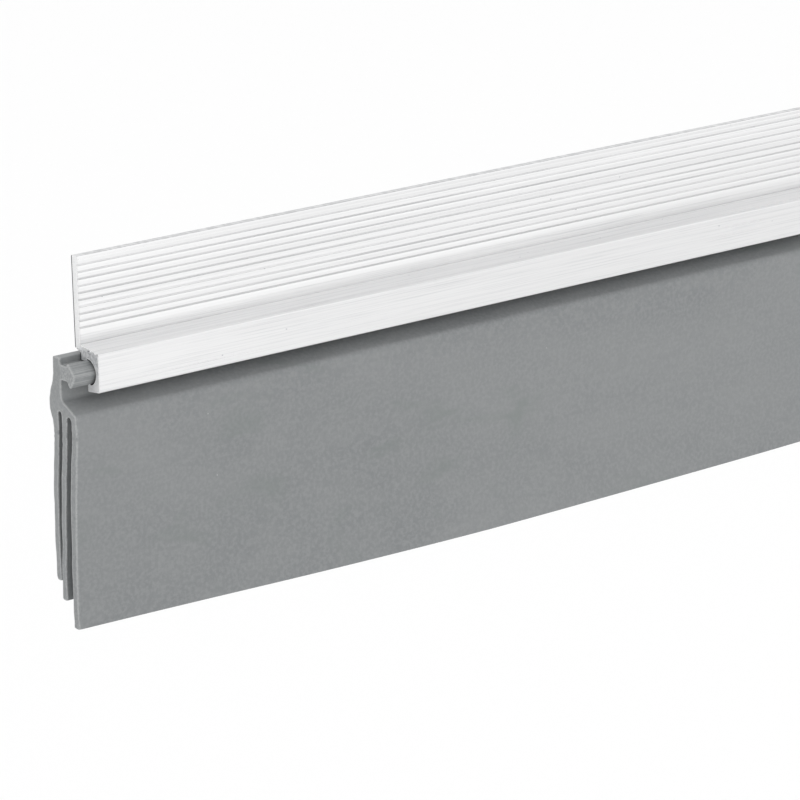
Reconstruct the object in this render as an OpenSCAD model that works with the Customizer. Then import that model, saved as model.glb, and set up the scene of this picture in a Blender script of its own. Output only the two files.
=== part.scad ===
// Door sweep: an aluminium retainer screwed to the bottom of a door's face, with a
// flexible three-fin insert slid into its channel.
// Frame: +X along the door, +Y into the door, +Z up. The origin lies on the flange's
// back face, at mid length and on the line of the screws. Sections are drawn in the
// YZ plane, and depths are measured down from the flange's top edge.

/* [Sweep] */
// Length of the retainer and of the insert
sweep_length = 914.4; // [600:0.1:1200]
// Height from the flange's top edge to the front fin's tip
overall_height = 60; // [57:0.5:75]
// How far the insert stands out of the retainer's left end
insert_offset = 3.9; // [0:0.1:12]

/* [Retainer] */
// Thickness of the flange
flange_thickness = 1.6; // [1.4:0.1:2]
// Depth of the flange's lower edge below its top edge
flange_depth = 14.9; // [14.5:0.1:16]
// Height of the channel box below the flange's lower edge
box_height = 6.2; // [6.1:0.1:7]
// Distance of the front face from the door
box_depth = 6.4; // [6.2:0.1:8]
// Radius of the channel that holds the insert
channel_r = 2.05; // [1.95:0.01:2.15]
// Number of decorative grooves along the flange
groove_count = 10; // [1:1:10]
// Distance from one groove to the next
groove_pitch = 1.12; // [0.8:0.01:1.15]
// Radius of each groove
groove_r = 0.2; // [0.1:0.01:0.3]

/* [Insert] */
// Thickness of the rear wall behind the channel
wall_thickness = 2; // [1.2:0.1:2.2]
// Thickness of the front fin
front_fin_t = 1.4; // [1:0.05:1.5]
// Thickness of the middle fin
middle_fin_t = 1.2; // [1:0.05:1.45]
// Thickness of the rear fin
rear_fin_t = 1.3; // [1:0.05:1.4]
// How much shorter the middle fin is than the front fin
middle_fin_step = 4.1; // [2:0.1:8]
// How much shorter the rear fin is than the front fin
rear_fin_step = 7.1; // [4:0.1:12]
// Radius of the fins' gentle curve
fin_curve_r = 270; // [200:5:600]
// Backward lean of the fins where they leave the spine
fin_lean = 7.4; // [0:0.1:9]

/* [Screws] */
// Distance from the retainer's end to the nearest slot
slot_inset = 180; // [100:1:200]
// Width of each slot
slot_width = 4; // [3.8:0.1:4.4]
// Height of each slot
slot_height = 8.4; // [7:0.1:9]
// Radius of a screw's thread
thread_r = 1.75; // [1.6:0.01:1.8]
// Length of a screw below its head
screw_length = 12.7; // [9.5:0.1:19]
// Radius of a screw's head
head_r = 3.4; // [3:0.1:3.6]
// Height of a screw's head
head_height = 2.1; // [1.8:0.1:2.4]

/* [Hidden] */
$fn = 64;

aluminium_colour = [0.9, 0.9, 0.91];
vinyl_colour = [0.5, 0.51, 0.51];
steel_colour = [0.72, 0.73, 0.75];

// Flange and box, as depths and as distances in front of the door
screw_line_depth = 7.5;
ledge_depth = flange_depth - 0.7;
ledge_fall = 0.65;
jog_depth = flange_depth + 0.5;
mouth_depth = jog_depth + 1.2;
retainer_depth = flange_depth + box_height;
jaw_drop = 0.35;
jaw_y = -1.4;
corner_r = 0.3;
ledge_fillet_r = 0.15;
top_edge_r = 0.25;
first_groove = 1.45;

// Channel, the catch above its mouth and the lip below it
channel_y = -3.5;
channel_depth = mouth_depth + 1.65;
catch_y = -3.15;
lip_y = -3.2;
lip_depth = mouth_depth + 3;
lip_reach = 0.3;
lip_root = 0.75;

// Insert's spine
clearance = 0.1;
wall_y = jaw_y + clearance;
wall_back = wall_y + wall_thickness;
wall_top = jog_depth + 0.3;
neck_top = mouth_depth + 0.15;
neck_foot = mouth_depth + 2.55;
bead_angles = [93, 159, 186, 254];
shoulder_r = 0.8;
shoulder_depth = retainer_depth + 0.9;
front_corner_r = 1.2;
front_corner_depth = retainer_depth + 4.1;
heel_start = retainer_depth - 2.6;
heel_swell = 1.15;
heel_steps = 19;

// Fins and the knuckles that they flex on
root_depth = retainer_depth + 6.9;
front_root_y = -4.6;
middle_root_y = -1.9;
rear_root_y = 0.3;
front_gap_height = 3.1;
rear_gap_height = 3.6;
knuckle_clearance = 0.06;
knuckle_reach = 0.3;
flex_limit = 35;
flex_margin = 4;
curve_fn = 720;

// Screws
screw_count = 4;
screw_pitch = (sweep_length - 2 * slot_inset) / (screw_count - 1);
neck_r = 1.5;
head_gap = 0.05;
tip_length = 3.5;
recess_width = 0.9;
recess_depth = 1.2;
recess_span = 3.6;

// Height in the part's frame of a depth below the flange's top edge
function z_at(depth) = screw_line_depth - depth;

// Points along an arc about centre c, from angle a0 to a1
function arc(c, r, a0, a1, steps = 8) = [
    for (i = [0:steps])
        let (a = a0 + (a1 - a0) * i / steps) c + r * [cos(a), sin(a)]
];

// Angle, about centre a, at which a line leaves one circle to meet another on its other side
function crossing_angle(a, b, radii) =
    atan2(b[1] - a[1], b[0] - a[0]) + acos(radii / norm(b - a));

function screw_x(i) = -sweep_length / 2 + slot_inset + i * screw_pitch;

// Draws a YZ section along X
module along_x(x_start, length) {
    translate([x_start, 0, 0]) rotate([90, 0, 90]) linear_extrude(length) children();
}

// ---- Retainer ----

// The flange, the ledge and the box below it, with the box's back cut away for the insert
module retainer_outline() {
    ledge_z = z_at(ledge_depth);
    front_top_z = ledge_z - ledge_fall;
    foot_z = z_at(retainer_depth);
    polygon(concat(
        [[0, z_at(0)], [0, z_at(flange_depth)]],
        [[jaw_y, z_at(jog_depth)], [jaw_y, z_at(mouth_depth)]],
        [[lip_y, z_at(mouth_depth)], [lip_y, foot_z - jaw_drop]],
        arc([corner_r - box_depth, foot_z + corner_r], corner_r, 270, 180),
        arc([corner_r - box_depth, front_top_z - corner_r], corner_r, 180, 90),
        arc([-flange_thickness - ledge_fillet_r, ledge_z + ledge_fillet_r], ledge_fillet_r, 270, 360),
        arc([top_edge_r - flange_thickness, z_at(top_edge_r)], top_edge_r, 180, 90)
    ));
}

// The round channel, closed at the back by a catch above and a lip below its mouth
module channel_void() {
    channel_z = z_at(channel_depth);
    channel_foot = channel_z - channel_r;
    lip_z = z_at(lip_depth);
    difference() {
        translate([channel_y, channel_z]) circle(channel_r);
        translate([catch_y, channel_foot]) square(2 * channel_r);
        polygon([
            [catch_y, lip_z], [lip_y - lip_reach, lip_z],
            [lip_y - lip_root, channel_foot], [catch_y, channel_foot]
        ]);
    }
    translate([lip_y - clearance, lip_z]) square([box_depth, z_at(mouth_depth) - lip_z]);
}

module retainer_section() {
    difference() {
        retainer_outline();
        channel_void();
        for (i = [0:groove_count - 1])
            translate([-flange_thickness, z_at(first_groove + i * groove_pitch)])
                circle(groove_r, $fn = 24);
    }
}

module slot_void() {
    straight = slot_height - slot_width;
    rotate([90, 0, 0])
        linear_extrude(4 * flange_thickness, center = true) {
            square([slot_width, straight], center = true);
            for (side = [-1, 1])
                translate([0, side * straight / 2]) circle(d = slot_width);
        }
}

module retainer() {
    color(aluminium_colour)
        difference() {
            along_x(-sweep_length / 2, sweep_length) retainer_section();
            for (i = [0:screw_count - 1]) translate([screw_x(i), 0, 0]) slot_void();
        }
}

// ---- Insert ----

// Back of the spine: the wall swells into a heel that presses on the door
function back_y(t) =
    wall_back + t * (rear_root_y + rear_fin_t / 2 - wall_back) + heel_swell * pow(sin(180 * t), 2);

// Outer edge of the spine: wall, neck, barbed bead, sloping shoulder and heel
module spine_outline() {
    bead_centre = [channel_y, z_at(channel_depth)];
    bead_r = channel_r - clearance;
    barb_y = catch_y - clearance;
    front_y = front_root_y - front_fin_t / 2;
    shoulder_centre = [wall_y - shoulder_r, z_at(shoulder_depth)];
    corner_centre = [front_y + front_corner_r, z_at(front_corner_depth)];
    slope = crossing_angle(shoulder_centre, corner_centre, shoulder_r + front_corner_r);
    polygon(concat(
        arc([wall_back - corner_r, z_at(wall_top + corner_r)], corner_r, 0, 90),
        [[wall_y, z_at(wall_top)], [wall_y, z_at(neck_top)], [barb_y, z_at(neck_top)]],
        [[barb_y, bead_centre[1] + bead_r * sin(bead_angles[0])]],
        [for (a = bead_angles) bead_centre + bead_r * [cos(a), sin(a)]],
        [[barb_y, z_at(neck_foot)], [wall_y, z_at(neck_foot)]],
        arc(shoulder_centre, shoulder_r, 0, slope),
        arc(corner_centre, front_corner_r, 180 + slope, 180),
        [[front_y, z_at(root_depth)]],
        [
            for (i = [heel_steps:-1:0])
                let (t = i / heel_steps)
                [back_y(t), z_at(heel_start + t * (root_depth - heel_start))]
        ]
    ));
}

// Round-ended slot between two fins, open at the bottom
module fin_gap(y_front, y_back, height) {
    half = (y_back - y_front) / 2;
    translate([y_front + half, z_at(root_depth)]) {
        translate([0, height - half]) circle(half);
        translate([-half, -half]) square([2 * half, height]);
    }
}

// Room for a fin's rounded root and for the fin as it flexes either way
module knuckle_void(root_y, thickness) {
    reach = thickness / 2 + knuckle_reach;
    lift = reach * tan(flex_limit + flex_margin);
    translate([root_y, z_at(root_depth)]) {
        circle(thickness / 2 + knuckle_clearance);
        for (side = [-1, 1])
            polygon([[0, 0], [side * reach, lift], [side * reach, -reach], [0, -reach]]);
    }
}

module spine_section() {
    front_back = front_root_y + front_fin_t / 2;
    middle_front = middle_root_y - middle_fin_t / 2;
    middle_back = middle_root_y + middle_fin_t / 2;
    rear_front = rear_root_y - rear_fin_t / 2;
    difference() {
        spine_outline();
        fin_gap(front_back, middle_front, front_gap_height);
        fin_gap(middle_back, rear_front, rear_gap_height);
        knuckle_void(front_root_y, front_fin_t);
        knuckle_void(middle_root_y, middle_fin_t);
        knuckle_void(rear_root_y, rear_fin_t);
    }
}

module insert_spine() {
    color(vinyl_colour) along_x(-sweep_length / 2 - insert_offset, sweep_length) spine_section();
}

// One fin: a strip along a shallow arc, rounded at its root and at its tip
module fin_section(root_y, thickness, tip_depth) {
    half = thickness / 2;
    sweep_angle = (tip_depth - root_depth - half) / fin_curve_r * 180 / PI;
    tip_angle = fin_lean - sweep_angle;
    far = fin_curve_r + 4 * thickness;
    centre = [root_y, z_at(root_depth)] - fin_curve_r * [cos(fin_lean), sin(fin_lean)];
    translate(centre) {
        intersection() {
            difference() {
                circle(fin_curve_r + half, $fn = curve_fn);
                circle(fin_curve_r - half, $fn = curve_fn);
            }
            polygon([
                [0, 0],
                far * [cos(tip_angle), sin(tip_angle)],
                far * [cos(fin_lean), sin(fin_lean)]
            ]);
        }
        for (a = [fin_lean, tip_angle])
            translate(fin_curve_r * [cos(a), sin(a)]) circle(half);
    }
}

module fin(root_y, thickness, tip_depth) {
    color(vinyl_colour)
        along_x(-sweep_length / 2 - insert_offset, sweep_length)
            fin_section(root_y, thickness, tip_depth);
}

module front_fin() {
    fin(front_root_y, front_fin_t, overall_height);
}

module middle_fin() {
    fin(middle_root_y, middle_fin_t, overall_height - middle_fin_step);
}

module rear_fin() {
    fin(rear_root_y, rear_fin_t, overall_height - rear_fin_step);
}

// ---- Screws ----

// Half section of a pan head screw, drawn with the head's seat at height 0
module screw_section() {
    dome_r = (head_r * head_r + head_height * head_height) / (2 * head_height);
    shank_start = flange_thickness + 2 * head_gap;
    intersection() {
        translate([0, head_height - dome_r]) circle(dome_r, $fn = 96);
        square([head_r, head_height]);
    }
    translate([0, -shank_start]) square([neck_r, shank_start]);
    translate([0, tip_length - screw_length])
        square([thread_r, screw_length - tip_length - shank_start]);
    polygon([[0, -screw_length], [thread_r, tip_length - screw_length], [0, tip_length - screw_length]]);
}

module screw(i) {
    color(steel_colour)
        translate([screw_x(i), -flange_thickness - head_gap, 0])
            rotate([90, 0, 0])
                difference() {
                    rotate_extrude() screw_section();
                    for (turn = [0, 90])
                        rotate([0, 0, turn])
                            translate([-recess_span / 2, -recess_width / 2, head_height - recess_depth])
                                cube([recess_span, recess_width, 2 * recess_depth]);
                }
}

retainer();
insert_spine();
front_fin();
middle_fin();
rear_fin();
for (i = [0:screw_count - 1])
    screw(i);
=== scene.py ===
import math

import bmesh
import bpy
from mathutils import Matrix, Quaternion, Vector, noise
from mathutils.geometry import delaunay_2d_cdt


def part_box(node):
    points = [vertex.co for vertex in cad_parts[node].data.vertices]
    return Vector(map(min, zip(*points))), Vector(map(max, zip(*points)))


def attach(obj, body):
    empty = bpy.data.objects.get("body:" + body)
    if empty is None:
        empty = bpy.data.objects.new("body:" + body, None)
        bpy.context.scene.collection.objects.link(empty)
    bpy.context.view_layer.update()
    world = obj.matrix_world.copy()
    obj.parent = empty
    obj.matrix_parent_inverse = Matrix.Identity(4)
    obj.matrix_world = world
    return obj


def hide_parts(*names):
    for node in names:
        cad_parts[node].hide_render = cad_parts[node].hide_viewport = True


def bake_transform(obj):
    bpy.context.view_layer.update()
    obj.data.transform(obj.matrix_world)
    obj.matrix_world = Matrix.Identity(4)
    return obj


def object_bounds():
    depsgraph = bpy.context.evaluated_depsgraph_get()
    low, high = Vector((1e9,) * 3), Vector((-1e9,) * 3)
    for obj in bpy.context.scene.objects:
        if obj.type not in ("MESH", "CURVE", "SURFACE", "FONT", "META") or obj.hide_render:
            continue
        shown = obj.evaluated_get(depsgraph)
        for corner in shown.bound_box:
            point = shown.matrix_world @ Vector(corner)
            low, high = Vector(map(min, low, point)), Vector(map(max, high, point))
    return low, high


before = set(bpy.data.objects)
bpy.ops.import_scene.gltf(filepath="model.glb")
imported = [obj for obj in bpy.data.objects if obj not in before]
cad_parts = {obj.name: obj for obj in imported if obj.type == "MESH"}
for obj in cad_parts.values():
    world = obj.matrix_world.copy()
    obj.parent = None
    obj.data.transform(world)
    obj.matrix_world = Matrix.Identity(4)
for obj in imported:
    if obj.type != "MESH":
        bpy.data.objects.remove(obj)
cad_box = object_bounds()

# Lengths are in millimetres until a mesh is made. A section is a list of (y, z) points.
MM = 1000.0
retainer_low, retainer_high = (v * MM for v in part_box("retainer"))
insert_low, insert_high = (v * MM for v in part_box("insert_spine"))
front_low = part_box("front_fin")[0] * MM
middle_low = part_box("middle_fin")[0] * MM
rear_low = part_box("rear_fin")[0] * MM

TOP = retainer_high.z
BOX_FRONT = retainer_low.y
FLANGE_FRONT = -1.6
FLANGE_FOOT = TOP - 14.9
LEDGE = TOP - 14.2
MOUTH = TOP - 16.6
CHANNEL = (-3.5, TOP - 18.25)
CHANNEL_R = 2.05
GROOVES = 10
GROOVE_PITCH = 1.12
FIRST_GROOVE = TOP - 1.45
ROOT_Z = TOP - 28.0
FINS = {
    "front": dict(root=-4.6, thickness=1.4, tip=front_low.z, curl=0.0023),
    "middle": dict(root=-1.9, thickness=1.2, tip=middle_low.z, curl=0.0019),
    "rear": dict(root=0.45, thickness=1.3, tip=rear_low.z, curl=0.0034),
}
FIN_LEAN = math.tan(math.radians(7.4))
WALL_BACK = 0.7
HEEL_SWELL = 1.15
SLOT_R = 2.0
SLOT_RISE = 2.2


# ---- Sections ----


def arc(centre, r, start, stop, steps):
    """Points round centre from angle start to angle stop, in degrees."""
    angles = [math.radians(start + (stop - start) * i / steps) for i in range(steps + 1)]
    return [(centre[0] + r * math.cos(a), centre[1] + r * math.sin(a)) for a in angles]


def soften(corners, steps=4):
    """A closed outline of (y, z) points and (y, z, reach) corners, each corner rounded over its reach."""
    points = []
    for i, corner in enumerate(corners):
        here = Vector(corner[:2])
        if len(corner) == 2:
            points.append(tuple(here))
            continue
        before = Vector(corners[i - 1][:2]) - here
        after = Vector(corners[(i + 1) % len(corners)][:2]) - here
        reach = min(corner[2], 0.45 * before.length, 0.45 * after.length)
        a, b = here + before.normalized() * reach, here + after.normalized() * reach
        for k in range(steps + 1):
            t = k / steps
            points.append(tuple(a * (1 - t) ** 2 + here * 2 * t * (1 - t) + b * t * t))
    return points


def retainer_section():
    """The flange, the ledge that falls forwards, and the channel with its catch and lip."""
    front_top, foot = TOP - 14.85, TOP - 21.1
    jaw, lip = TOP - 15.4, TOP - 19.6
    jaw_y, catch_y, lip_y = -1.4, -3.15, -3.2
    front = [
        (0, TOP, 0.3), (0, FLANGE_FOOT, 0.1), (jaw_y, jaw, 0.1), (jaw_y, MOUTH, 0.1),
        (catch_y, MOUTH, 0.08), *arc(CHANNEL, CHANNEL_R, 80.2, 258.2, 40),
        (CHANNEL[0], lip, 0.08), (lip_y, lip, 0.08), (lip_y, foot - 0.35, 0.15),
        (BOX_FRONT, foot, 0.35), (BOX_FRONT, front_top, 0.22),
    ]
    start, depth = BOX_FRONT + 0.3, FLANGE_FRONT - 0.12 - BOX_FRONT - 0.3
    steps = 14
    for i in range(1, steps + 1):
        t = i / steps
        front.append((start + t * depth, front_top + t * (LEDGE - front_top)))
    crease = arc((FLANGE_FRONT - 0.02, LEDGE + 0.02), 0.09, 225, 405, 6)
    half, lips, crown = 0.14, 0.19, 0.02
    face = []
    for i in reversed(range(GROOVES)):
        z = FIRST_GROOVE - GROOVE_PITCH * i
        face += [(FLANGE_FRONT, z - lips), (FLANGE_FRONT + crown, z - half)]
        face += arc((FLANGE_FRONT + 0.07, z), 0.12, -85, 85, 8)
        face += [(FLANGE_FRONT + crown, z + half), (FLANGE_FRONT, z + lips)]
        if i:
            face += [(FLANGE_FRONT - crown, z + 0.42), (FLANGE_FRONT - crown, z + 0.7)]
    top_r = 0.18
    edge = arc((FLANGE_FRONT + top_r, TOP - top_r), top_r, 180, 90, 4)
    return soften(front + crease + face + edge)


def fin_y(fin, z):
    """Middle of a fin at height z: upright in the spine, then leaning back and curling forward again."""
    below = ROOT_Z - z
    ramp = max(below, 0) if abs(below) > 2 else (below + 2) ** 2 / 8
    return fin["root"] + FIN_LEAN * ramp - fin["curl"] * max(below, 0) ** 2


def fin_side(fin, side, start, stop, step=1.6):
    """Points down or up one face of a fin. side is -1 for the front face and 1 for the back."""
    count = max(1, round(abs(stop - start) / step))
    heights = [start + (stop - start) * i / count for i in range(count + 1)]
    return [(fin_y(fin, z) + side * fin["thickness"] / 2, z) for z in heights]


def fin_tip(fin, reach):
    y, half = fin_y(fin, fin["tip"]), fin["thickness"] / 2
    return [(y - half, fin["tip"], reach), (y + half, fin["tip"], reach)]


def slot_top(ahead, behind, top):
    """The round end of the gap between two fins, from the front one to the one behind it."""
    start = ahead["root"] + ahead["thickness"] / 2
    stop = behind["root"] - behind["thickness"] / 2
    r = (stop - start) / 2
    return arc((start + r, top - r), r, 180, 0, 12)


def insert_section():
    """The spine, with stubs where the fins carry on."""
    front, middle, rear = FINS["front"], FINS["middle"], FINS["rear"]
    barbs = ((93, 1.95), (159, 1.75), (186, 1.75), (254, 1.95))
    around = [arc(CHANNEL, r, angle, angle, 1)[0] for angle, r in barbs]
    wall_front, neck = -1.3, CHANNEL[0] + 0.25
    wall_top, neck_top, neck_foot = TOP - 15.7, TOP - 16.75, TOP - 19.15
    shoulder = (-2.1, TOP - 22.0)
    corner = (front["root"] - front["thickness"] / 2 + 1.2, TOP - 25.2)
    outline = [
        (WALL_BACK, wall_top, 0.35), (wall_front, wall_top, 0.15), (wall_front, neck_top, 0.12),
        (neck, neck_top, 0.1), (neck, around[0][1], 0.12), (*around[0], 0.25),
        (*around[1], 0.35), (*around[2], 0.4), (*around[3], 0.25),
        (neck, neck_foot, 0.15), (wall_front, neck_foot, 0.3),
        *arc(shoulder, 0.8, 0, -65, 10), *arc(corner, 1.2, 115, 180, 12),
        *fin_side(front, -1, TOP - 25.9, ROOT_Z, 0.4),
        *fin_side(front, 1, ROOT_Z, TOP - 26.4, 0.4),
        *slot_top(front, middle, TOP - 24.9),
        *fin_side(middle, -1, TOP - 26.4, ROOT_Z, 0.8),
        *fin_side(middle, 1, ROOT_Z, TOP - 26.4, 0.8),
        *slot_top(middle, rear, TOP - 24.4),
        *fin_side(rear, -1, TOP - 26.4, ROOT_Z, 0.8),
        (fin_y(rear, ROOT_Z) + rear["thickness"] / 2, ROOT_Z),
    ]
    back_end, heel_top, steps = outline[-1][0], TOP - 18.5, 16
    for i in range(steps - 1, -1, -1):
        t = i / steps
        y = WALL_BACK + t * (back_end - WALL_BACK) + HEEL_SWELL * math.sin(math.pi * t) ** 2
        outline.append((y, heel_top + t * (ROOT_Z - heel_top)))
    return soften(outline)


def fin_section(fin, reach):
    """One fin, with a round knuckle on top that stays hidden in its stub."""
    knee, ends = ROOT_Z - 2.4, fin["tip"] + 1.2
    front = fin_side(fin, -1, ROOT_Z, knee, 0.4)[:-1] + fin_side(fin, -1, knee, ends)
    back = fin_side(fin, 1, ends, knee)[:-1] + fin_side(fin, 1, knee, ROOT_Z, 0.4)
    knuckle = arc((fin_y(fin, ROOT_Z), ROOT_Z), fin["thickness"] / 2 - 0.02, 12, 168, 10)
    return soften(front + fin_tip(fin, reach) + back + knuckle)


# ---- Meshes ----


def jitter(x, y, z):
    """A vector of smooth noise at a point. Each part is read from its own place in the noise."""
    places = ((9.321, -1.531, -7.951), (0, 0, 0), (6.327, 0.1671, -2.672))
    return Vector([noise.noise(Vector((x, y, z)) + Vector(place)) for place in places])


def inset(section, by):
    """The section with each point moved inwards. Points where a fin meets its stub keep their height."""
    area = sum(a[0] * b[1] - b[0] * a[1] for a, b in zip(section, section[1:] + section[:1]))
    turn = 1 if area > 0 else -1
    moved = []
    for i, (y, z) in enumerate(section):
        before = Vector((y, z)) - Vector(section[i - 1])
        after = Vector(section[(i + 1) % len(section)]) - Vector((y, z))
        along = (before.normalized() + after.normalized()).normalized()
        rise = 0 if abs(z - ROOT_Z) < 1e-6 else turn * along.x * by
        moved.append((y - turn * along.y * by, z + rise))
    return moved


def inside(section, point, margin):
    """True if the point lies in the section, at least margin from its edge."""
    crossings, p = 0, Vector(point)
    for a, b in zip(section, section[1:] + section[:1]):
        if (a[1] > p.y) != (b[1] > p.y):
            crossings += p.x < a[0] + (b[0] - a[0]) * (p.y - a[1]) / (b[1] - a[1])
        edge = Vector(b) - Vector(a)
        along = max(0.0, min(1.0, (p - Vector(a)).dot(edge) / max(edge.length_squared, 1e-12)))
        if (p - Vector(a) - edge * along).length < margin:
            return False
    return crossings % 2 == 1


def cap_of(section, spacing):
    """(extra points, triangles) that close the section, with points inside it for a rough cut."""
    ys, zs = [p[0] for p in section], [p[1] for p in section]
    extra = []
    rows = int((max(zs) - min(zs)) / spacing) + 1
    columns = int((max(ys) - min(ys)) / spacing) + 1
    for i in range(rows):
        for j in range(columns):
            nudge = jitter(i * 1.7, j * 2.3, 4.0) * spacing * 0.35
            p = (min(ys) + (j + 0.5) * spacing + nudge.x, min(zs) + (i + 0.5) * spacing + nudge.y)
            if inside(section, p, spacing * 0.4):
                extra.append(p)
    count = len(section)
    points = [Vector(p) for p in section + extra]
    _, _, faces, origins, _, _ = delaunay_2d_cdt(points, [], [list(range(count))], 1, 1e-7)
    return extra, [[origins[v][0] for v in f] for f in faces]


def finish_mesh(name, bm, body, material, sharp=32):
    bmesh.ops.recalc_face_normals(bm, faces=bm.faces)
    mesh = bpy.data.meshes.new(name)
    bm.to_mesh(mesh)
    bm.free()
    piece = bpy.data.objects.new(name, mesh)
    bpy.context.scene.collection.objects.link(piece)
    dress(piece, material, sharp)
    if body:
        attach(piece, body)
    return piece


def dress(piece, material, sharp=32):
    """Shades the piece, and keeps its rest position in millimetres for the material's patterns."""
    mesh = piece.data
    mesh.materials.clear()
    mesh.materials.append(material)
    for face in mesh.polygons:
        face.use_smooth = True
        face.material_index = 0
    mesh.set_sharp_from_angle(angle=math.radians(sharp))
    place = mesh.attributes.get("rest_mm") or mesh.attributes.new("rest_mm", "FLOAT_VECTOR", "POINT")
    place.data.foreach_set("vector", [c * MM for v in mesh.vertices for c in v.co])


def extrude(name, section, stations, place, cap_spacing, body, material, edge_break=0.06):
    """A closed strip of one section along X. place moves each (x, y, z) of it."""
    bm = bmesh.new()
    ends = inset(section, edge_break)
    rings = []
    for k, x in enumerate(stations):
        ring = ends if k in (0, len(stations) - 1) else section
        rings.append([bm.verts.new(Vector(place(x, y, z)) / MM) for y, z in ring])
    count = len(section)
    for a, b in zip(rings, rings[1:]):
        for i in range(count):
            j = (i + 1) % count
            bm.faces.new((a[i], a[j], b[j], b[i]))
    extra, triangles = cap_of(ends, cap_spacing)
    for ring, x in ((rings[0], stations[0]), (rings[-1], stations[-1])):
        verts = ring + [bm.verts.new(Vector(place(x, y, z)) / MM) for y, z in extra]
        for face in triangles:
            bm.faces.new([verts[i] for i in face])
    return finish_mesh(name, bm, body, material)


def run_of(start, stop, step, ends):
    """Stations from start to stop, closer together at the ends, as far in as ends says."""
    count = round((stop - start - 2 * ends[-1]) / step)
    gap = (stop - start - 2 * ends[-1]) / count
    middle = [start + ends[-1] + gap * i for i in range(1, count)]
    return [start + e for e in ends] + middle + [stop - e for e in reversed(ends)]


# ---- Materials ----


class Looks:
    """A node material whose patterns follow the piece's rest position in millimetres."""

    def __init__(self, name):
        self.material = bpy.data.materials.new(name)
        self.material.use_nodes = True
        self.nodes, self.links = self.material.node_tree.nodes, self.material.node_tree.links
        self.bsdf = self.nodes["Principled BSDF"]
        self.rest = self.nodes.new("ShaderNodeAttribute")
        self.rest.attribute_name = "rest_mm"
        self.place = self.rest.outputs["Vector"]
        axes = self.nodes.new("ShaderNodeSeparateXYZ")
        self.links.new(self.place, axes.inputs[0])
        self.x, self.y, self.z = axes.outputs

    def feed(self, socket, value):
        if isinstance(value, bpy.types.NodeSocket):
            self.links.new(value, socket)
        else:
            socket.default_value = value

    def stretched(self, scale, turn=(0, 0, 0)):
        node = self.nodes.new("ShaderNodeMapping")
        node.inputs["Scale"].default_value = scale
        node.inputs["Rotation"].default_value = [math.radians(a) for a in turn]
        self.links.new(self.place, node.inputs["Vector"])
        return node.outputs[0]

    def noise(self, scale, detail=3.0, roughness=0.55, turn=(0, 0, 0), distortion=0.0):
        node = self.nodes.new("ShaderNodeTexNoise")
        node.inputs["Scale"].default_value = 1.0
        node.inputs["Detail"].default_value = detail
        node.inputs["Roughness"].default_value = roughness
        node.inputs["Distortion"].default_value = distortion
        self.links.new(self.stretched(scale, turn), node.inputs["Vector"])
        return node.outputs["Fac"]

    def specks(self, scale, size, keep):
        """1 in small round spots and 0 elsewhere. keep is the share of cells that have one."""
        node = self.nodes.new("ShaderNodeTexVoronoi")
        node.inputs["Scale"].default_value = 1.0
        self.links.new(self.stretched(scale), node.inputs["Vector"])
        spot = self.ranged(node.outputs["Distance"], size, size * 0.4, 0, 1)
        chosen = self.nodes.new("ShaderNodeSeparateColor")
        self.links.new(node.outputs["Color"], chosen.inputs[0])
        return self.both(spot, self.math("LESS_THAN", chosen.outputs[0], keep))

    def math(self, operation, a, b=0.0, c=0.0):
        node = self.nodes.new("ShaderNodeMath")
        node.operation = operation
        for socket, value in zip(node.inputs, (a, b, c)):
            self.feed(socket, value)
        return node.outputs[0]

    def ranged(self, value, low, high, to_low, to_high):
        node = self.nodes.new("ShaderNodeMapRange")
        node.interpolation_type = "SMOOTHSTEP"
        for socket, number in zip(node.inputs, (value, low, high, to_low, to_high)):
            self.feed(socket, number)
        return node.outputs[0]

    def mix(self, factor, a, b):
        node = self.nodes.new("ShaderNodeMix")
        node.data_type = "RGBA"
        self.feed(node.inputs[0], factor)
        self.feed(node.inputs[6], a)
        self.feed(node.inputs[7], b)
        return node.outputs[2]

    def both(self, *masks):
        """The masks multiplied together."""
        whole = masks[0]
        for mask in masks[1:]:
            whole = self.math("MULTIPLY", whole, mask)
        return whole

    def near(self, value, middle, inner, outer):
        """1 where the value is within inner of the middle, fading to 0 at outer."""
        gap = self.math("ABSOLUTE", self.math("SUBTRACT", value, middle))
        return self.ranged(gap, inner, outer, 1, 0)

    def paint(self, under, over, *masks):
        """The under colour, with the over colour laid on as far as the masks say."""
        return self.mix(self.both(*masks), under, (*over, 1))

    def rim(self, width):
        """1 along sharp edges, fading to 0 over the width in from them."""
        bevel = self.nodes.new("ShaderNodeBevel")
        bevel.samples = 6
        bevel.inputs["Radius"].default_value = width / MM
        flat = self.nodes.new("ShaderNodeNewGeometry")
        turned = self.nodes.new("ShaderNodeVectorMath")
        turned.operation = "DOT_PRODUCT"
        self.links.new(bevel.outputs[0], turned.inputs[0])
        self.links.new(flat.outputs["Normal"], turned.inputs[1])
        return self.ranged(turned.outputs["Value"], 0.995, 0.93, 0, 1)

    def bump(self, height, strength, distance, after=None):
        node = self.nodes.new("ShaderNodeBump")
        node.inputs["Strength"].default_value = strength
        node.inputs["Distance"].default_value = distance / MM
        self.feed(node.inputs["Height"], height)
        if after:
            self.links.new(after, node.inputs["Normal"])
        return node.outputs[0]

    def set(self, **sockets):
        for name, value in sockets.items():
            self.feed(self.bsdf.inputs[name.replace("_", " ")], value)
        return self.material


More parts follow.
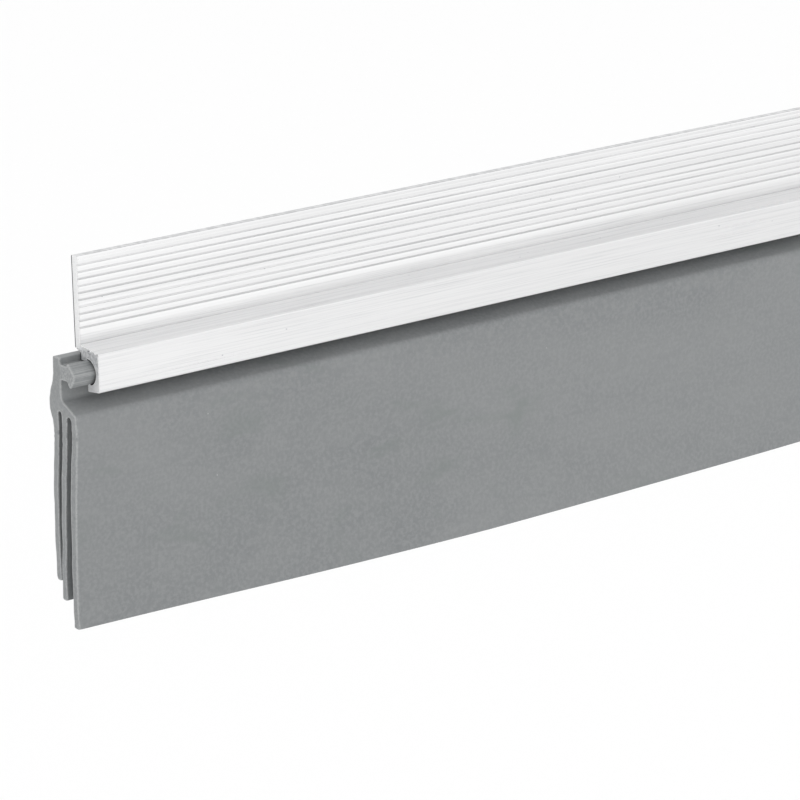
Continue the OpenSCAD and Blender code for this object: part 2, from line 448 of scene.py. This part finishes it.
def aluminium():
    """Mill-finish extruded aluminium: die lines along X, pits, soft cloudiness and sawn ends."""
    m = Looks("aluminium")
    half = retainer_high.x
    end = m.ranged(m.math("ABSOLUTE", m.x), half - 0.09, half - 0.06, 0, 1)
    run = m.math("SUBTRACT", 1.0, end)
    top = m.ranged(m.z, TOP - 0.1, TOP - 0.03, 0, 1)
    flange = m.math("GREATER_THAN", m.z, LEDGE - 0.4)
    plain = m.math("LESS_THAN", m.z, TOP - 12.6)
    sunk = m.ranged(m.y, FLANGE_FRONT + 0.02, FLANGE_FRONT + 0.12, 0, 1)
    shallow = m.math("LESS_THAN", m.y, FLANGE_FRONT + 0.3)
    face = m.ranged(m.y, BOX_FRONT + 0.02, BOX_FRONT + 0.1, 0.6, 0)
    die = m.noise((0.004, 3.2, 3.2), 4, 0.6)
    fine = m.noise((0.012, 11, 11), 2, 0.5)
    drawn = m.noise((0.03, 5, 5), 4, 0.75)
    cloud = m.noise((0.014, 0.12, 0.12), 2, 0.5, distortion=0.4)
    groove_shade_noise = m.noise((0.02, 0.9, 0.9), 4, 0.65)
    pit = m.specks((0.32, 0.5, 0.5), 0.07, 0.3)
    nick = m.specks((0.5, 1.1, 1.1), 0.1, 0.25)
    saw = m.noise((0.3, 0.9, 6.0), 3, 0.6, turn=(28, 0, 0))
    smear_and_shade = m.noise((0.4, 1.6, 1.3), 4, 0.7, distortion=0.8)
    chatter = m.noise((1.6, 0.5, 0.5), 2, 0.5, turn=(0, 0, 35))
    tear = m.noise((1, 2.4, 2.4), 2, 0.6)

    colour = m.mix(m.ranged(die, 0.3, 0.7, 0, 1), (0.79, 0.79, 0.793, 1), (0.885, 0.885, 0.887, 1))
    colour = m.paint(colour, (0.79, 0.79, 0.792), m.ranged(cloud, 0.35, 0.68, 0, 0.4))
    # Painted shade: the box's front face is toned darker than the rest of the bar.
    colour = m.paint(colour, (0.745, 0.745, 0.748), face)
    colour = m.paint(colour, (0.6, 0.605, 0.615), plain, m.ranged(drawn, 0.48, 0.7, 0, 0.8))
    colour = m.paint(colour, (0.4, 0.41, 0.43), pit, 0.7)
    # Painted shade in the grooves, in patches along them.
    groove = m.both(sunk, shallow, flange, run)
    colour = m.paint(colour, (0.45, 0.455, 0.465), groove, m.ranged(groove_shade_noise, 0.3, 0.7, 0, 0.55))
    # Painted shade: the flange's top face is darker, in patches.
    colour = m.paint(colour, (0.5, 0.503, 0.51), top, m.ranged(chatter, 0.35, 0.65, 0.5, 0.95))

    # The cut ends: saw marks, painted shade in patches by the channel, bright edges with a painted edge
    # highlight, a painted shadow line along the back edge, and torn specks.
    colour = m.paint(colour, (0.76, 0.77, 0.78), end, m.ranged(saw, 0.35, 0.65, 0.1, 0.7))
    # Painted shade in patches on the cut end round the channel's mouth.
    jaw = m.near(m.z, MOUTH, 1.4, 2.2)
    colour = m.paint(colour, (0.4, 0.41, 0.43), end, jaw, m.ranged(smear_and_shade, 0.42, 0.62, 0.1, 0.8))
    # Bright burred edges on the cut ends, partly a painted edge highlight.
    rim = m.both(m.rim(0.4), end)
    colour = m.paint(colour, (0.93, 0.93, 0.93), rim)
    # Painted shadow: a dark line along the cut end's back edge, as the burr there would cast.
    back = m.ranged(m.z, TOP - 15.5, FLANGE_FOOT, FLANGE_FRONT - 0.08, -0.28)
    colour = m.paint(colour, (0.08, 0.08, 0.09), end, m.math("GREATER_THAN", m.y, back))
    torn = m.both(m.near(m.z, LEDGE - 0.5, 0.5, 0.7), m.ranged(tear, 0.5, 0.56, 0, 1))
    colour = m.paint(colour, (0.06, 0.06, 0.07), rim, torn)

    # Painted shade: the channel's inside is dark.
    across = m.math("SUBTRACT", m.y, CHANNEL[0])
    up = m.math("SUBTRACT", m.z, CHANNEL[1])
    reach = m.math("ADD", m.math("POWER", across, 2.0), m.math("POWER", up, 2.0))
    channel_shade = m.math("LESS_THAN", reach, (CHANNEL_R + 0.05) ** 2)
    colour = m.paint(colour, (0.16, 0.16, 0.165), channel_shade, run)

    rough = m.ranged(m.math("ADD", die, m.both(cloud, 0.6)), 0.5, 1.1, 0.26, 0.4)
    rough = m.math("MAXIMUM", rough, m.both(end, 0.42))
    metallic = m.math("SUBTRACT", 1.0, m.both(end, 0.55))
    normal = m.bump(m.math("ADD", m.both(die, 0.7), m.both(fine, 0.3)), 0.6, 0.02)
    normal = m.bump(m.math("SUBTRACT", m.both(nick, 0.5), pit), 0.5, 0.02, normal)
    normal = m.bump(m.both(end, m.math("ADD", saw, smear_and_shade)), 0.8, 0.06, normal)
    return m.set(Base_Color=colour, Metallic=metallic, Roughness=rough, Normal=normal)


def vinyl():
    """Grey flexible vinyl: mottled, faintly streaked along its length, scuffed and pale where cut."""
    m = Looks("vinyl")
    left = m.ranged(m.x, insert_low.x + 0.35, insert_low.x + 0.5, 1, 0)
    right = m.ranged(m.x, insert_high.x - 0.5, insert_high.x - 0.35, 0, 1)
    cut = m.math("MAXIMUM", left, right)
    bead = m.both(m.math("GREATER_THAN", m.z, TOP - 20.3), m.math("LESS_THAN", m.y, -1.35))
    broad = m.noise((0.016, 0.05, 0.03), 3, 0.5, distortion=0.6)
    medium = m.noise((0.09, 0.2, 0.16), 3, 0.6)
    fine = m.noise((1.6, 1.6, 1.6), 3, 0.6)
    streak = m.noise((0.006, 0.9, 0.9), 3, 0.6)
    thread = m.noise((0.02, 3.2, 3.2), 3, 0.7)
    stain = m.noise((0.03, 0.09, 0.07), 3, 0.6, distortion=1.2)
    rub = m.noise((0.035, 0.5, 0.4), 4, 0.65, turn=(0, 12, 0))
    dust = m.specks((0.16, 0.16, 0.16), 0.024, 0.6)
    crumb = m.specks((0.6, 0.8, 0.8), 0.2, 0.22)
    torn = m.noise((1.2, 2.2, 2.2), 3, 0.7)

    colour = m.mix(m.ranged(broad, 0.3, 0.7, 0, 1), (0.194, 0.204, 0.209, 1), (0.232, 0.241, 0.245, 1))
    colour = m.paint(colour, (0.244, 0.252, 0.254), m.ranged(medium, 0.35, 0.7, 0, 0.5))
    colour = m.paint(colour, (0.204, 0.213, 0.217), m.ranged(streak, 0.35, 0.7, 0, 0.35))
    colour = m.paint(colour, (0.276, 0.285, 0.287), m.ranged(fine, 0.35, 0.7, 0, 0.6))
    colour = m.paint(colour, (0.186, 0.208, 0.2), m.ranged(stain, 0.54, 0.72, 0, 0.6))
    colour = m.paint(colour, (0.285, 0.294, 0.295), m.ranged(rub, 0.66, 0.8, 0, 0.4))
    colour = m.paint(colour, (0.5, 0.51, 0.51), dust, 0.7)
    colour = m.paint(colour, (0.4, 0.41, 0.41), bead, m.ranged(thread, 0.45, 0.68, 0, 0.75))

    # The cut ends: torn and pale, with bright edges that are partly a painted edge highlight, and crumbs,
    # but no edge where a fin meets its stub.
    colour = m.paint(colour, (0.36, 0.37, 0.37), cut, m.ranged(torn, 0.4, 0.66, 0, 0.3))
    away = m.math("ABSOLUTE", m.math("SUBTRACT", m.z, ROOT_Z))
    # Pale torn edges on the cut ends, partly a painted edge highlight.
    rim = m.both(m.rim(0.45), cut, m.ranged(away, 0.25, 0.5, 0, 1))
    colour = m.paint(colour, (0.46, 0.47, 0.47), rim, m.ranged(torn, 0.25, 0.55, 0.35, 0.9))
    colour = m.paint(colour, (0.8, 0.81, 0.81), cut, crumb, 0.9)

    rough = m.ranged(m.math("ADD", medium, fine), 0.7, 1.3, 0.46, 0.62)
    normal = m.bump(m.math("ADD", m.both(streak, 0.6), m.both(fine, 0.25)), 0.4, 0.03)
    normal = m.bump(m.both(bead, thread), 0.5, 0.04, normal)
    normal = m.bump(m.both(cut, torn), 0.6, 0.12, normal)
    return m.set(Base_Color=colour, Roughness=rough, Normal=normal)


def zinc_steel():
    """Zinc-plated steel: bright and slightly blue, with faint spangle, painted shade by the recess and
    painted highlights on its edges.
    """
    m = Looks("zinc_steel")
    spangle = m.noise((0.8, 0.8, 0.8), 2, 0.5, distortion=0.5)
    fine = m.noise((7, 7, 7), 3, 0.6)
    # Painted shade, in patches, darker from 0.6 to 2 mm in front of the flange's face.
    behind = m.ranged(m.y, FLANGE_FRONT - 2.0, FLANGE_FRONT - 1.5, 0, 1)
    recess = m.both(behind, m.math("LESS_THAN", m.y, FLANGE_FRONT - 0.6))
    colour = m.mix(m.ranged(spangle, 0.35, 0.65, 0, 1), (0.64, 0.65, 0.68, 1), (0.7, 0.71, 0.73, 1))
    colour = m.paint(colour, (0.4, 0.4, 0.42), recess, m.ranged(fine, 0.3, 0.7, 0.1, 0.35))
    # Painted highlight along the screw's sharp edges.
    colour = m.paint(colour, (0.86, 0.86, 0.87), m.rim(0.25), 0.7)
    rough = m.ranged(m.math("ADD", spangle, fine), 0.7, 1.3, 0.16, 0.3)
    normal = m.bump(fine, 0.2, 0.008)
    return m.set(Base_Color=colour, Metallic=1.0, Roughness=rough, Normal=normal)


# ---- Pieces ----


def slot_cutters(centres, y_front, y_back):
    """One mesh of stadium plugs that cut the slots, flared a little where they meet each face."""
    bm = bmesh.new()
    levels = [
        (y_front - 1.5, 0.14), (y_front - 0.04, 0.14), (y_front + 0.12, 0),
        (y_back - 0.12, 0), (y_back + 0.03, 0.12), (y_back + 1.5, 0.12),
    ]
    for x in centres:
        rings = []
        for y, flare in levels:
            r = SLOT_R + flare
            ends = arc((0, SLOT_RISE), r, 0, 180, 16) + arc((0, -SLOT_RISE), r, 180, 360, 16)
            rings.append([bm.verts.new(Vector((x + u, y, w)) / MM) for u, w in ends])
        for a, b in zip(rings, rings[1:]):
            for i in range(len(a)):
                j = (i + 1) % len(a)
                bm.faces.new((a[i], a[j], b[j], b[i]))
        bm.faces.new(rings[0])
        bm.faces.new(rings[-1])
    bmesh.ops.recalc_face_normals(bm, faces=bm.faces)
    mesh = bpy.data.meshes.new("slot_cutters")
    bm.to_mesh(mesh)
    bm.free()
    cutter = bpy.data.objects.new("slot_cutters", mesh)
    bpy.context.scene.collection.objects.link(cutter)
    return cutter


def sawn(x, y, z):
    """The retainer's cut ends: not quite flat, with a torn burr along the ledge."""
    side = -1 if x < 0 else 1
    near = max(0.0, 1 - (retainer_high.x - abs(x)) / 0.3)
    if near:
        burr = max(0.0, 1 - abs(z - TOP + 14.6) / 0.5) * (y < FLANGE_FRONT)
        tear = jitter(side, y * 2.6, z * 2.6)
        x += side * near * (burr * abs(tear.x) * 0.5 - 0.01 + tear.y * 0.03)
        z += near * burr * tear.z * 0.3
    return x, y, z


def make_retainer(material, slots):
    stations = run_of(retainer_low.x, retainer_high.x, 30, (0, 0.07, 0.35, 2))
    piece = extrude("retainer_bar", retainer_section(), stations, sawn, 0.6, None, material)
    cutter = slot_cutters(slots, FLANGE_FRONT, 0.0)
    cut = piece.modifiers.new("slots", "BOOLEAN")
    cut.operation, cut.solver, cut.object = "DIFFERENCE", "EXACT", cutter
    bpy.context.view_layer.update()
    done = bpy.data.meshes.new_from_object(piece.evaluated_get(bpy.context.evaluated_depsgraph_get()))
    piece.modifiers.clear()
    piece.data = done
    bpy.data.objects.remove(cutter)
    dress(piece, material)
    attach(piece, "retainer")
    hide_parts("retainer")
    return piece


def sway(x, y, z):
    """The strip's own shape: long shallow waves that grow towards the fins' tips, and rough cut ends."""
    wave_length, wave_reach, bow_reach, bow_run = 304.8, 2.0, 1.5, 80
    along = x - insert_low.x
    drop = max(0.0, ROOT_Z - z) / 32.0
    wave = -wave_reach * math.sin(2 * math.pi * along / wave_length)
    small = noise.noise(Vector((along * 0.021, z * 0.02, 3.1))) * 0.5
    bow = -bow_reach * min(1.0, along / bow_run)
    y += (wave + small + bow) * drop**1.6
    end = max(0.0, 1 - min(along, insert_high.x - x) / 0.5)
    if end:
        rough = jitter(x * 0.4, y * 2.1, z * 2.1) * 0.09
        coarse = noise.noise(Vector((x, y * 0.5, z * 0.22))) * 0.14
        side = -1 if along < insert_high.x - x else 1
        x += side * end * (rough.x + coarse - 0.06)
        y += end * rough.y * 0.5
        z += end * rough.z * 0.5
    return x, y, z


def tucked(x, y, z):
    """sway for a fin, with its knuckle drawn in from the ends so that the stub covers it."""
    along, left = x - insert_low.x, insert_high.x - x
    pull = max(0.0, 0.2 - 0.1 * min(along, left)) * (z > ROOT_Z + 0.05)
    return sway(x + pull if along < left else x - pull, y, z)


def make_insert(material):
    stations = run_of(insert_low.x, insert_high.x, 4.5, (0, 0.08, 0.3, 0.8, 2, 4))
    cap_spacing = 0.45
    spine = extrude("insert_body", insert_section(), stations, sway, cap_spacing, "insert", material)
    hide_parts("insert_spine")
    for name, reach in (("front", 0.35), ("middle", 0.3), ("rear", 0.5)):
        fin = FINS[name]
        section = fin_section(fin, reach)
        strip = extrude(f"{name}_strip", section, stations, tucked, cap_spacing, None, material)
        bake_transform(strip)
        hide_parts(f"{name}_fin")


def make_screw(number, material):
    """A pan head screw with a cross recess and a thread, pointing into the door."""
    low, high = (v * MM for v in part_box(f"screw_{number}"))
    centre = ((low.x + high.x) / 2, (low.z + high.z) / 2)
    head_r, head_height, shank_r, sides = (high.x - low.x) / 2, 2.1, 1.5, 48
    seat, tip = low.y + head_height, high.y
    bm = bmesh.new()

    def ring(r, y, lobes=None):
        """A ring of points at y, of radius r or with the radius that lobes gives for each angle."""
        verts = []
        for i in range(sides):
            a = 2 * math.pi * i / sides
            reach = lobes(a) if lobes else r
            place = Vector((centre[0] + reach * math.cos(a), y, centre[1] + reach * math.sin(a)))
            verts.append(bm.verts.new(place / MM))
        return verts

    def cross(size):
        """Outline of the cross recess: narrow arms along X and Z, rounded where they meet."""
        half_arm, core = 0.45, 0.62

        def reach(a):
            c, s = abs(math.cos(a)), abs(math.sin(a))
            arm = min(size / max(c, s), half_arm / max(min(c, s), 1e-6))
            return max(min(arm, size), core * min(1.0, size))
        return reach

    # Each pair is a distance behind the head's front and the recess's size or the dome's radius there.
    recess = [(1.1, 0.95), (0.6, 1.35), (0.06, 1.75)]
    dome = [(0, 2.0), (0.17, 2.5), (0.5, 2.95), (0.92, 3.22), (1.5, head_r)]
    rings = [ring(0.05, low.y + 1.25)]
    rings += [ring(0, low.y + back, cross(size)) for back, size in recess]
    rings += [ring(r, low.y + back) for back, r in dome]
    rings += [ring(head_r, seat - 0.12), ring(head_r - 0.12, seat)]
    rings += [ring(shank_r, seat), ring(shank_r, seat + 1.7)]

    pitch, depth, core_r, point, steps = 1.25, 0.36, 1.39, 3.5, 16
    for i in range(int((tip - seat - 1.9) / pitch * steps)):
        y = seat + 1.75 + i * pitch / steps
        taper = min(1.0, max(0.02, (tip - y) / point))

        def thread(a, i=i, taper=taper):
            crest = 1 - 3.2 * abs(((a / (2 * math.pi) + i / steps) % 1) - 0.5)
            return taper * (core_r + max(0.0, crest) * depth)
        rings.append(ring(0, y, thread))
    rings.append(ring(0.03, tip - 0.02))
    for a, b in zip(rings, rings[1:]):
        for i in range(sides):
            j = (i + 1) % sides
            bm.faces.new((a[i], a[j], b[j], b[i]))
    bm.faces.new(rings[0])
    bm.faces.new(rings[-1])
    piece = finish_mesh(f"screw_{number}_body", bm, "screws", material, sharp=38)
    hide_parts(f"screw_{number}")
    return centre[0]


# ---- Camera, floor and light ----


def make_camera():
    """Looks along the sweep at its left end, from the front, a little above it."""
    aim = Vector((retainer_low.x + 60.6, -4.0, TOP - 34.6)) / MM
    azimuth, elevation, roll = (math.radians(a) for a in (-37.52, 16.34, 1.335))
    level = math.cos(elevation)
    back = Vector((math.sin(azimuth) * level, -math.cos(azimuth) * level, math.sin(elevation)))
    distance = 0.693
    data = bpy.data.cameras.new("camera")
    data.lens, data.sensor_width = 189.0, 36.0
    data.clip_start, data.clip_end = 0.01, 200.0
    camera = bpy.data.objects.new("camera", data)
    camera.rotation_mode = "QUATERNION"
    camera.location = aim + back * distance
    camera.rotation_quaternion = (-back).to_track_quat("-Z", "Y") @ Quaternion((0, 0, 1), -roll)
    bpy.context.scene.collection.objects.link(camera)
    bpy.context.scene.camera = camera


def make_floor():
    """A pale floor well below the sweep, which hangs on a door."""
    drop = 0.55
    bm = bmesh.new()
    bmesh.ops.create_grid(bm, x_segments=8, y_segments=8, size=60)
    mesh = bpy.data.meshes.new("floor")
    bm.to_mesh(mesh)
    bm.free()
    floor = bpy.data.objects.new("floor", mesh)
    floor.location.z = cad_box[0].z - drop
    bpy.context.scene.collection.objects.link(floor)
    pale = bpy.data.materials.new("floor")
    pale.use_nodes = True
    shader = pale.node_tree.nodes["Principled BSDF"]
    shader.inputs["Base Color"].default_value = (0.93, 0.93, 0.93, 1)
    shader.inputs["Roughness"].default_value = 0.9
    shader.inputs["Specular IOR Level"].default_value = 0.1
    mesh.materials.append(pale)


def softbox(name, at, towards, size, power):
    data = bpy.data.lights.new(name, "AREA")
    data.shape, data.size, data.size_y, data.energy = "RECTANGLE", size[0], size[1], power
    light = bpy.data.objects.new(name, data)
    light.location = at
    light.rotation_mode = "QUATERNION"
    light.rotation_quaternion = (Vector(towards) - Vector(at)).to_track_quat("-Z", "Y")
    light.visible_camera = False
    bpy.context.scene.collection.objects.link(light)


def make_light():
    """An even white room, with softboxes in front, high and level, low by the left end, and overhead."""
    world = bpy.data.worlds.new("room")
    bpy.context.scene.world = world
    world.use_nodes = True
    background = world.node_tree.nodes["Background"]
    background.inputs["Color"].default_value = (1, 1, 1, 1)
    background.inputs["Strength"].default_value = 1.06
    left = Vector((retainer_low.x + 80, -4, TOP - 20)) / MM
    softbox("front", left + Vector((1.2, -1.8, 1.1)), left, (1.8, 1.2), 1.0)
    softbox("strip", left + Vector((1.75, -2.4, 0.3)), left, (2.6, 0.4), 0.8)
    softbox("low", left + Vector((0.4, -1.1, -0.34)), left, (0.3, 0.5), 0.25)
    softbox("above", Vector((0, -0.4, 2.4)), Vector((0, 0, 0)), (3.0, 1.6), 1.5)
    bpy.context.scene.view_settings.view_transform = "Standard"


metal, rubber, zinc = aluminium(), vinyl(), zinc_steel()
make_camera()
make_floor()
make_light()
slots = [make_screw(n, zinc) for n in (1, 2, 3, 4)]
make_retainer(metal, slots)
make_insert(rubber)

bpy.context.view_layer.update()
